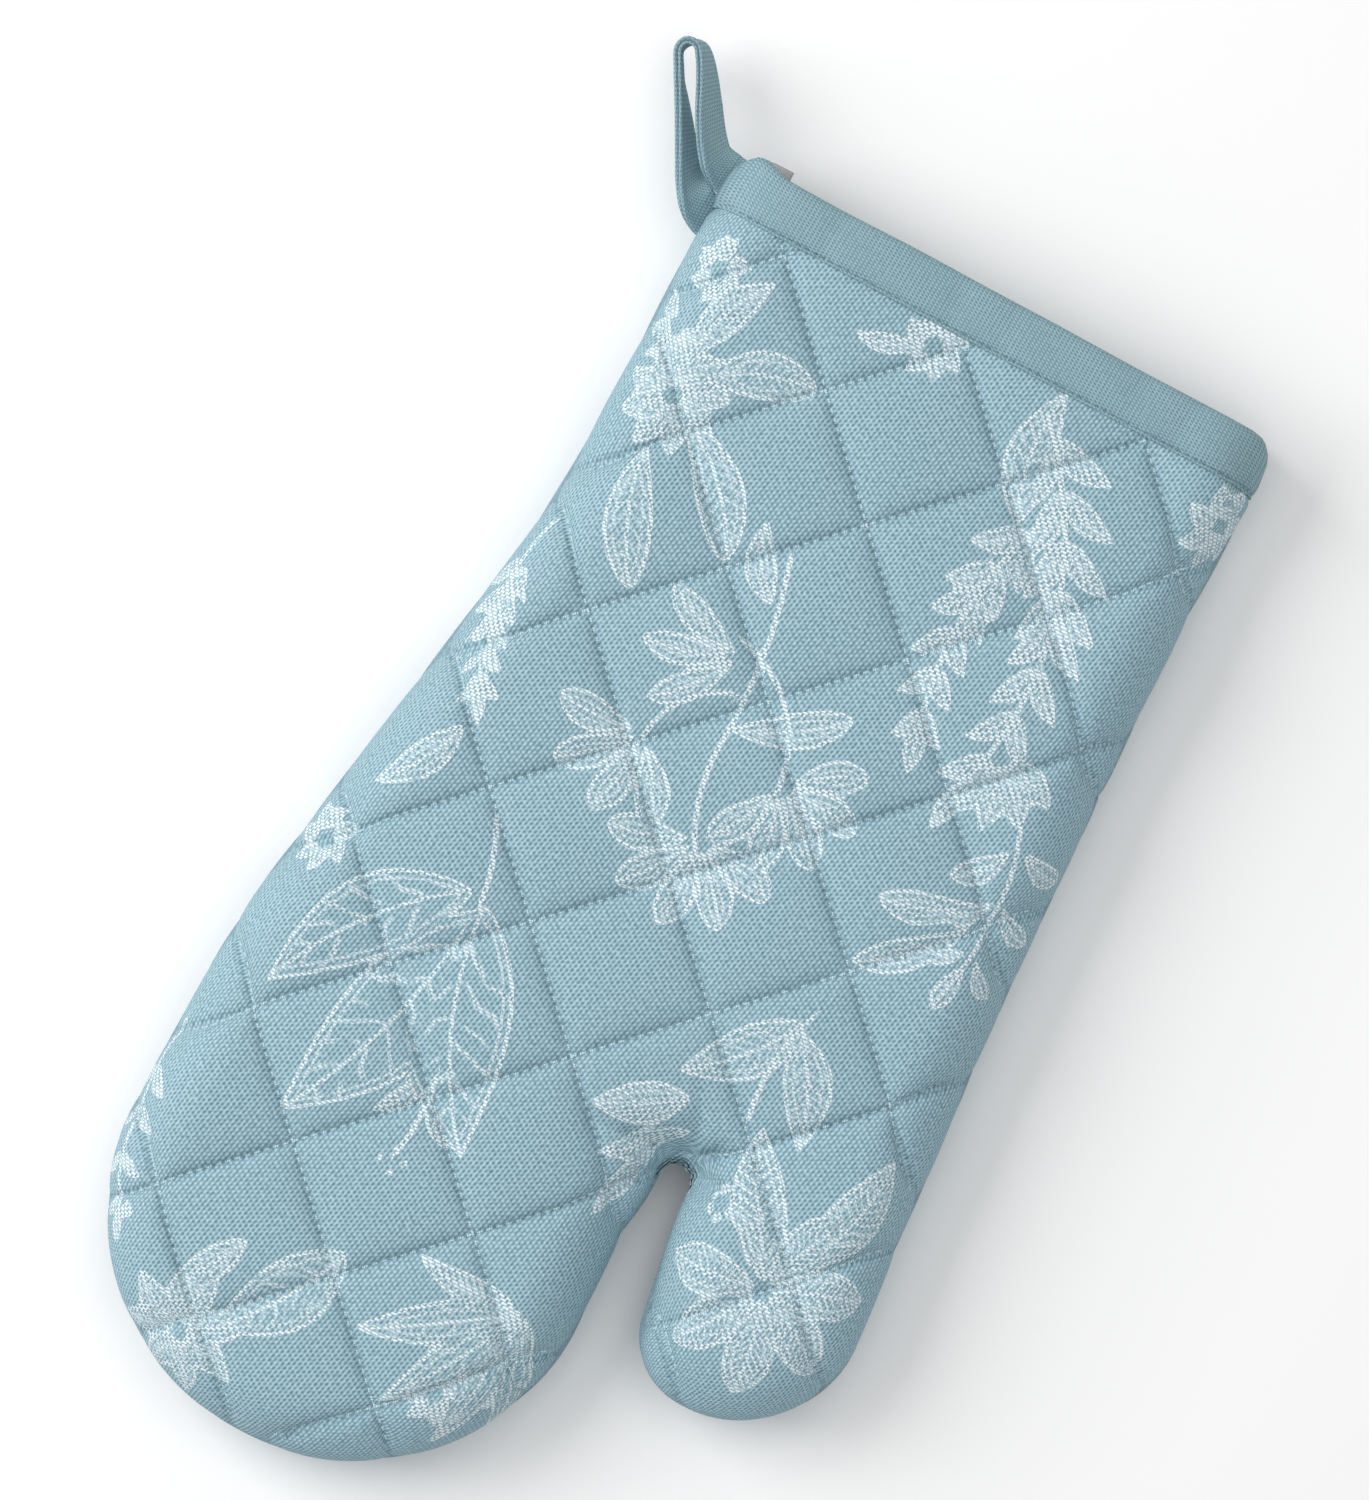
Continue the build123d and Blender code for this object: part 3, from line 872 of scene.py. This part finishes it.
g = Graph("batting")
uneven = g.noise(g.field("cloth"), 0.35, 4.0, 0.7)
colour = g.mix(uneven, linear(224, 222, 214), linear(242, 241, 236))
batting = g.surface(colour, 0.95, uneven, 0.6)

g = Graph("label_tape")
x, y, _ = g.field("cloth").axes()
weave = waves(x, y, [(2.2, 0.0, 0.4), (0.0, 2.2, 0.6)])
colour = g.mix(weave.step(-1, 1), linear(166, 166, 165), linear(196, 196, 195))
label_finish = g.surface(colour, 0.5, weave, 0.05)


def plied(name, ply_gap_shade, crown):
    """Thread whose plies wind round it, with shade painted in the gap between them."""
    g = Graph(name)
    x, y, _ = g.field("twist").axes()
    ply = abs((x * 1.6 + y).part() - 0.5).step(0.5, 0.1)
    return g.surface(g.mix(ply, ply_gap_shade, crown), 0.6, ply, 0.08)


thread = plied("thread", linear(150, 180, 192), linear(206, 228, 236))
# The binding's thread is of the tape's own blue, made darker still as painted shade for the
# groove it lies in.
tape_thread_with_groove_shade = plied("tape_thread_with_groove_shade", linear(84, 116, 127), linear(128, 159, 169))

for (name, layer), piece in panels.items():
    finish = {"outer": jacquard, "batting": batting, "lining": lining}[layer]
    piece.data.materials.append(finish)

# %% [markdown]
# Every quilting stitch is a short thread that dips into the cloth at both ends.  Its
# middle is found on the same relief that shaped the cloth, so it lies in its valley.


# %% Stitches
def lifted(plan, side, extra):
    """Places and normals on the outer face of a panel at plan points."""
    place, normal, angle, _, _ = form(plan, side)
    return place + normal * (relief(plan, side, angle) + extra)[:, None], normal


def stitch_mesh(name, centre, ahead, normal, length=1.85, radius=0.34, dip=0.4,
                finish=thread):
    """A short thread at each centre: five rings of six points along it, thin at both
    ends, sunk there by dip along the normal."""
    rings, sides = 5, 6
    t = np.array([-1.0, -0.72, 0.0, 0.72, 1.0]) * length / 2
    thick = radius * np.array([0.45, 0.95, 1.0, 0.95, 0.45])[:, None]
    sink = -dip * np.array([1.0, 0.45, 0.0, 0.45, 1.0])
    around = tau * np.arange(sides) / sides
    aside = unit(np.cross(normal, ahead))
    up = np.cross(ahead, aside)
    base = centre[:, None] + ahead[:, None] * t[:, None] + up[:, None] * sink[:, None]
    points = (base[:, :, None] + aside[:, None, None] * (thick * np.cos(around))[..., None]
              + up[:, None, None] * (thick * np.sin(around))[..., None])
    k, j = np.meshgrid(np.arange(rings - 1), np.arange(sides), indexing="ij")
    low, high, after = k * sides, (k + 1) * sides, (j + 1) % sides
    wall = np.stack([low + j, high + j, high + after, low + after], -1).reshape(-1, 4)
    last = (rings - 1) * sides + np.arange(sides)
    caps = np.array([[0, 1, 2, 3], [0, 3, 4, 5], last[3::-1], last[[5, 4, 3, 0]]])
    own = np.concatenate([wall, caps])[:, ::-1]
    first = rings * sides * np.arange(len(centre))
    faces = (own[None] + first[:, None, None]).reshape(-1, 4)
    piece = mesh_piece(name, points.reshape(-1, 3), faces)
    twist = np.zeros((len(centre), rings, sides, 3))
    twist[..., 0] = t[None, :, None]
    twist[..., 1] = np.arange(sides) / sides
    twist[..., 2] = np.arange(len(centre))[:, None, None]
    give_vector(piece, "twist", twist.reshape(-1, 3))
    piece.data.materials.append(finish)
    return piece


def stitches_along(name, plan, ahead, side, extra):
    """Stitches on a panel's outer face at plan points, heading along ahead there."""
    reach = 0.8
    place, normal = lifted(plan, side, extra)
    after, before = (lifted(plan + way * ahead, side, extra)[0] for way in (reach, -reach))
    return stitch_mesh(name, place, unit(after - before), normal)


clear_of_binding, clear_of_seam = 0.8, 1.6


def quilting_points(shift):
    """Stitch middles and headings along every quilting line inside the seam."""
    places, headings = [], []
    for start, pitch, across, along in (
        (falling_start, falling_pitch, (1, 1), (-1, 1)),
        (rising_start, rising_pitch, (-1, 1), (1, 1)),
    ):
        across, along = np.array(across) / np.sqrt(2), np.array(along) / np.sqrt(2)
        level, run = np.meshgrid(start + shift + pitch * np.arange(-8, 12),
                                 stitch_pitch * np.arange(-180, 180), indexing="ij")
        points = (level[..., None] * across + run[..., None] * along).reshape(-1, 2)
        near = (points > seam.min(0)).all(1) & (points < seam.max(0)).all(1)
        points = points[near & (points[:, 1] > binding_width + clear_of_binding)]
        points = points[from_seam(points)[0] > clear_of_seam]
        places.append(points)
        headings.append(np.tile(along, (len(points), 1)))
    return np.concatenate(places), np.concatenate(headings)


quilting_threads = {}
for side, name in names.items():
    plan, ahead = quilting_points(0.0 if side > 0 else back_shift)
    piece = stitches_along(f"{name}_quilting", plan, ahead, side, 0.16)
    quilting_threads[name] = piece
    print(piece.name, len(plan), "stitches")

# %% [markdown]
# The binding is one strip of bias tape folded round the raw edges of both panels at the
# cuff.  Its section is a U, and that section is carried round the mouth.

# %% Binding
near_cuff = (seam[:, 1] > -40) & (seam[:, 1] < 60)
left_line = seam[near_cuff & (seam[:, 0] < 0)]
left_line = left_line[np.argsort(left_line[:, 1])]
inner_y = 8.0               # the tape follows the cloth's relief at this distance in
under_lining = -5.0         # level of the tape's inner side, from the smooth form
over_cloth = 0.9            # level of its outer side, from the cloth


def mouth_ring(flat_steps=64, roll_steps=9):
    """Once round the mouth as (distance in over the roll, share of the way between the
    rolls, side): plan x follows from these at any y.  Front from left to right, then the
    back from right to left."""
    over = np.linspace(0, np.pi / 2, roll_steps + 1)
    inset = roll * (1 - np.cos(over))
    flat = np.linspace(0, 1, flat_steps + 1)[1:-1]
    front = [(i, 0.0, 1) for i in inset] + [(roll, f, 1) for f in flat]
    front += [(i, 1.0, 1) for i in inset[::-1]]
    back = [(i, f, -1) for i, f, _ in front[::-1]][1:-1]
    return np.array(front + back)


ring = mouth_ring()


def ring_plan(y):
    """Plan points of the ring where each ring point has its own y."""
    left = np.interp(y, left_line[:, 1], left_line[:, 0])
    inset, share, _ = ring.T
    low, high = left + inset, cuff_side - inset
    return np.column_stack([low + (high - low) * share, y])


def narrowing(x):
    """The turned tape is a twentieth narrower at the loop's side."""
    return 1 - 0.05 * smoothstep(-60, 70, x)


def under_tape(plan, side):
    """The smooth form at plan points, its normals, and the relief a little way in."""
    place, normal, angle, _, _ = form(plan, side)
    return place, normal, relief(level_points(plan[:, :1], inner_y), side, angle)


binding_section = np.array([      # y, share of the way up from inside, and what is added
    (13.35, 1.0, -0.75), (13.60, 1.0, -0.35), (13.45, 1.0, 0.05), (13.05, 1.0, 0.10),
    (12.65, 1.0, -0.70), (12.20, 1.0, 0.00), (10.5, 1.0, 0.30), (7.5, 1.0, 0.40),
    (4.5, 1.0, 0.25), (2.4, 1.0, 0.10), (1.1, 0.95, 0.0), (0.3, 0.80, 0.0),
    (0.0, 0.50, 0.0), (0.3, 0.20, 0.0), (1.1, 0.05, 0.0), (2.4, 0.0, 0.0),
    (7.0, 0.0, 0.0), (12.0, 0.0, 0.1), (13.3, 0.0, 0.2), (13.2, 0.0, 0.8),
    (7.0, 0.0, 0.8), (2.9, 0.05, 0.75), (1.3, 0.25, 0.5), (0.8, 0.50, 0.0),
    (1.3, 0.75, -0.5), (2.9, 0.97, -0.65), (7.0, 1.0, -0.5), (12.0, 1.0, -0.75),
])


def binding_points():
    """The section at every ring point: y from the section, and height from the level
    under the lining to the level over the outer cloth."""
    plan0 = ring_plan(np.full(len(ring), inner_y))
    step = np.linalg.norm(np.diff(plan0, axis=0, append=plan0[:1]), axis=1)
    run = np.concatenate([[0], np.cumsum(step)[:-1]])
    sag = -2.3 * np.exp(-((plan0[:, 0] - 66.5) / 5.0) ** 2) * (ring[:, 2] > 0)
    over_corner = np.maximum(cuff_corner - ring[:, 0], 0)
    sag = sag + cuff_corner - np.sqrt(cuff_corner**2 - over_corner**2)
    wave = 0.25 * ripple(plan0, 38, 21)
    sections, coordinates = [], []
    travel, last = 0.0, binding_section[0]
    for y0, share, extra in binding_section:
        y = y0 * narrowing(plan0[:, 0]) + (sag + wave) * (1 - y0 / 16)
        plan = ring_plan(y)
        place = np.empty((len(ring), 3))
        for side in (1, -1):
            own = ring[:, 2] == side
            smooth, normal, stand = under_tape(plan[own], side)
            height = under_lining + (stand + over_cloth - under_lining) * share
            height = height + extra + 0.12 * ripple(plan[own], 24, 9)
            place[own] = smooth + normal * height[:, None]
        place[:, 1] = y
        sections.append(place)
        travel += np.hypot(y0 - last[0], 4 * (share - last[1]))
        last = (y0, share, extra)
        coordinates.append(np.column_stack([run, np.full(len(ring), travel), run * 0]))
    return np.stack(sections, 1), np.stack(coordinates, 1)


def tube_faces(rows, columns):
    """Quads of a grid closed both ways."""
    i, j = np.meshgrid(np.arange(rows), np.arange(columns), indexing="ij")
    here, ahead, after = i * columns, (i + 1) % rows * columns, (j + 1) % columns
    return np.stack([here + j, ahead + j, ahead + after, here + after], -1).reshape(-1, 4)


places, coordinates = binding_points()
faces = tube_faces(len(ring), len(binding_section))
binding = mesh_piece("cuff_tape", places.reshape(-1, 3), faces[:, ::-1])
give_vector(binding, "cloth", coordinates.reshape(-1, 3))
binding.data.materials.append(tape)

top_y, top_lift = 12.65, 0.55
plan = level_points(np.arange(-66.0, 64.0, 2.2)[:, None], top_y)
rows = []
for side in (1, -1):
    smooth, normal, stand = under_tape(plan, side)
    place = smooth + normal * (stand + top_lift)[:, None]
    place[:, 1] = plan[:, 1] * narrowing(plan[:, 0])
    rows.append((place, normal))
centre, normal = (np.concatenate(v) for v in zip(*rows))
ahead = np.tile([1.0, 0, 0], (len(centre), 1))
topstitch = stitch_mesh("cuff_stitching", centre, ahead, normal, 1.75, 0.24,
                        finish=tape_thread_with_groove_shade)

# %% [markdown]
# The side seam's own stitches are down in the groove where the two panels meet.

# %% Seam stitches
seam_pitch, seam_inset = 2.6, 1.2
run = np.concatenate([[0], np.cumsum(seam_length)])
at = np.arange(0, run[-1], seam_pitch)
line = np.vstack([seam, seam[:1]])
plan = np.column_stack([np.interp(at, run, line[:, 0]), np.interp(at, run, line[:, 1])])
ahead = unit(np.gradient(plan, axis=0))
inward = np.column_stack([-ahead[:, 1], ahead[:, 0]])
keep = plan[:, 1] > binding_width + 1
plan, ahead, inward = plan[keep] + seam_inset * inward[keep], ahead[keep], inward[keep]
seam_thread = stitch_mesh("seam_stitching", level_points(plan, middle),
                          level_points(ahead, 0.0), level_points(-inward, 0.0), 2.1, 0.2)

# %% [markdown]
# The hanging loop is a length of the same tape, folded in four and stitched, so it has a
# round bead at each edge with a slit between.  Both ends lie flat in the side seam and
# the tape twists on edge as it leaves, which is how it comes to be seen from the side.


# %% Hanging loop
def curve(knots, count):
    """A smooth line through the knots: cubic pieces whose slopes are half the step
    between the neighbours, sampled evenly by length."""
    knots = np.array(knots, float)
    slope = np.gradient(knots, axis=0)
    t = np.linspace(0, len(knots) - 1 - 1e-9, 40 * len(knots))
    k, u = t.astype(int), (t - t.astype(int))[:, None]
    a, b, s, e = knots[k], knots[k + 1], slope[k], slope[k + 1]
    line = (a * (2 * u**3 - 3 * u**2 + 1) + s * (u**3 - 2 * u**2 + u)
            + b * (3 * u**2 - 2 * u**3) + e * (u**3 - u**2))
    run = np.concatenate([[0], np.cumsum(np.linalg.norm(np.diff(line, axis=0), axis=1))])
    at = np.linspace(0, run[-1], count)
    return np.column_stack([np.interp(at, run, column) for column in line.T]), at


loop_knots = [
    (66.0, 21.0), (71.0, 20.6), (75.6, 18.0), (79.6, 12.8), (84.0, 4.8), (88.8, -4.2),
    (93.0, -11.8), (95.0, -15.8), (94.2, -18.4), (91.6, -18.6), (89.4, -15.8),
    (86.9, -11.2), (83.6, -4.4), (79.6, 2.4), (75.4, 7.4), (71.0, 9.6), (66.0, 10.2),
]
rim, travel = curve(loop_knots, 150)
out_of_seam = smoothstep(69.5, 78.0, rim[:, 0])
share = travel / travel[-1]
lean = np.array([            # share of the length, then the way from rim to rim
    (0.00, 0.0, -10.2, -1.0), (0.08, -0.5, -10.0, -2.0), (0.20, -3.4, -4.5, -9.5),
    (0.34, -2.6, -1.6, -10.3), (0.44, -0.8, -0.6, -10.8), (0.52, -0.6, -0.4, -10.8),
    (0.60, -2.4, -1.8, -10.4), (0.74, -4.0, -4.4, -9.2), (0.86, -4.0, -6.5, -8.0),
    (0.94, -1.0, -10.0, -2.5), (1.00, 0.0, -10.2, -1.0),
])
twist = unit(np.column_stack([np.interp(share, lean[:, 0], lean[:, k]) for k in (1, 2, 3)]))
rim_lift, free_lift = 0.6, 4.4   # height over the seam inside it, and what is added outside
rim3 = np.column_stack([rim, middle + rim_lift + free_lift * out_of_seam])
beside = unit(np.cross(unit(np.gradient(rim3, axis=0)), twist))
half_section = np.array([
    (0.75, 0.0), (0.15, 0.22), (-0.05, 0.5), (0.1, 0.8), (0.6, 0.95), (1.3, 0.85), (2.0, 0.6),
    (3.5, 0.55), (6.0, 0.6), (8.0, 0.55), (9.2, 0.65), (10.1, 0.85), (10.6, 0.6), (10.7, 0.0),
])
section = np.vstack([half_section, half_section[-2:0:-1] * (1, -1)])
squeeze = 0.55 + 0.45 * out_of_seam
points = (rim3[:, None] + twist[:, None] * section[None, :, 0, None]
          + beside[:, None] * (section[None, :, 1] * squeeze[:, None])[..., None])
rows, columns = points.shape[:2]
last_row = (rows - 1) * columns
faces = tube_faces(rows, columns)[:last_row]
order = np.arange(columns // 2 - 1)
cap = np.column_stack([order, order + 1, columns - 2 - order, (columns - order) % columns])
faces = np.concatenate([faces, cap[:, ::-1], last_row + cap])
loop = mesh_piece("loop_tape", points.reshape(-1, 3), faces)
girth = np.concatenate([[0], np.cumsum(np.linalg.norm(np.diff(section, axis=0), axis=1))])
t, c = np.meshgrid(travel, girth, indexing="ij")
give_vector(loop, "cloth", np.stack([t, c, t * 0], -1).reshape(-1, 3))
loop.data.materials.append(tape)
print("loop", rows, "by", columns, "length", round(float(travel[-1]), 1))

# %% [markdown]
# The label is a short piece of smooth tape folded in half, its two ends caught in the
# side seam inside the mouth.  It shows past the edge of the cuff.

# %% Label
label_rows, label_columns = 34, 30
label_fold_x, label_low_y, label_width = 57.0, -3.0, 22.0
label_reach, label_fold = 11.4, 0.42      # depth behind the fold, and the fold's radius
label_half = 0.12                         # half the tape's thickness
across, along = np.meshgrid(np.linspace(0, 1, label_rows), np.linspace(0, 1, label_columns),
                            indexing="ij")
run = (across - 0.5) * 2 * (label_reach + 1.57 * label_fold)
bent = np.clip(run / label_fold, -np.pi / 2, np.pi / 2)
straight = np.maximum(np.abs(run) - label_fold * np.pi / 2, 0)
x = label_fold_x + label_fold * (1 - np.cos(bent)) + straight
gap = label_fold * np.sin(bent) * (1 - 0.6 * straight / label_reach)
y = label_low_y + label_width * along + 0.25 * np.sin(3 * along) * (x - label_fold_x) / 11
y = y + 4.5 * smoothstep(62.0, 69.5, x)   # kept under the binding's rounded corner
z = middle + gap + 0.5 * np.sin(2.2 * along + 0.4) * (1 - straight / label_reach)
top = np.stack([x, y, z], -1).reshape(-1, 3)
quads = around_quad(np.arange(label_rows * label_columns).reshape(label_rows, label_columns))
out = np.stack([-np.cos(bent), bent * 0, np.sin(bent)], -1).reshape(-1, 3)
label = mesh_piece("label", *closed_shell(top + label_half * out, top - label_half * out,
                                          quads.reshape(4, -1).T))
flat_place = np.stack([run, label_width * along, run * 0], -1).reshape(-1, 3)
give_vector(label, "cloth", np.tile(flat_place, (2, 1)))
label.data.materials.append(label_finish)

count = 6
centre = np.column_stack([np.full(count, 66.6), 2.0 + 1.9 * np.arange(count),
                          np.full(count, middle + 0.75)])
label_thread = stitch_mesh("label_stitches", centre, np.tile([0.0, 1, 0], (count, 1)),
                           np.tile([0.0, 0, 1], (count, 1)), 1.6, 0.15)

# %% [markdown]
# Each new piece stands for its solid, which is hidden.  Pieces of the mitt move with its
# body; the loop and the label, sewn into the seam, are left where they are made.

# %% Pieces and bodies
layers = {                  # the end of the solid's name, and the slot
    "outer": ("outer_panel", "jacquard_cloth"),
    "batting": ("batting", "batting"),
    "lining": ("lining", "lining_cloth"),
}
stands_for = [(piece, "mitt", f"{name}_{layers[layer][0]}", layers[layer][1])
              for (name, layer), piece in panels.items()]
stands_for += [
    (binding, "mitt", "cuff_binding", "bias_tape"),
    (loop, "loop", "hanging_loop", "bias_tape"),
    (label, "label", "care_label", "label_tape"),
    (quilting_threads["front"], "mitt", "front_quilting_thread", "thread"),
    (quilting_threads["back"], "mitt", "back_quilting_thread", "thread"),
    (seam_thread, "mitt", "side_seam_thread", "thread"),
    (topstitch, "mitt", "binding_topstitch", "thread"),
    (label_thread, "mitt", "label_stitching", "thread"),
]
bends = {                   # pattern x where the bend starts and ends, body before and after
    "loop": (69.8, 75.0, "mitt", "loop"),
    "label": (60.2, 63.6, "label", "mitt"),
}
for piece, body, node, slot in stands_for:
    if body in bends:
        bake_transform(piece)
    else:
        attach(piece, body)
    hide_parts(node)

# %% [markdown]
# The mitt lies on a pale floor under a broad soft light, brighter from the loop's side,
# and the camera looks straight down from far off, with the fingers pointing towards the
# lower edge of the picture.

# %% Floor, light and camera
wide = 3.0
floor_mesh = bpy.data.meshes.new("floor")
floor_mesh.from_pydata([(-wide, -wide, 0), (wide, -wide, 0), (wide, wide, 0), (-wide, wide, 0)],
                       [], [(0, 1, 2, 3)])
floor = bpy.data.objects.new("floor", floor_mesh)
bpy.context.collection.objects.link(floor)
floor.location.z = cad_box[0][2] - 0.0004
g = Graph("floor")
floor_mesh.materials.append(g.surface(linear(250, 250, 250), 0.9))

bpy.context.scene.view_settings.view_transform = "Standard"
world = bpy.data.worlds.new("studio")
bpy.context.scene.world = world
world.use_nodes = True
background = world.node_tree.nodes["Background"]
background.inputs["Color"].default_value = (1, 1, 1, 1)
background.inputs["Strength"].default_value = 0.45


def area_light(name, place, size, power):
    """A square soft light at place, facing the middle of the frame."""
    data = bpy.data.lights.new(name, "AREA")
    data.size, data.energy = size, power
    lamp = bpy.data.objects.new(name, data)
    bpy.context.collection.objects.link(lamp)
    lamp.location = place
    ahead = -np.array(place)
    yaw = np.arctan2(ahead[1], ahead[0]) - np.pi / 2
    pitch = np.arctan2(np.hypot(ahead[0], ahead[1]), -ahead[2])
    lamp.rotation_euler = (pitch, 0, yaw)


area_light("key", (1.15, 0.05, 0.95), 1.1, 15.8)
area_light("top", (-0.1, -0.2, 1.6), 1.2, 7)

camera_data = bpy.data.cameras.new("camera")
camera = bpy.data.objects.new("camera", camera_data)
bpy.context.collection.objects.link(camera)
bpy.context.scene.camera = camera
view_centre = (np.array([15.9, 129.0]) + origin) * MM
camera_height, view_tall = 2.2, 0.3525
subject_height, sensor = 0.022, 24.0
camera.location = (*view_centre, camera_height)
camera.rotation_euler = (0, 0, np.radians(208.1))
camera_data.sensor_fit = "VERTICAL"
camera_data.sensor_height = sensor
camera_data.lens = sensor * (camera_height - subject_height) / view_tall
camera_data.clip_end = 20
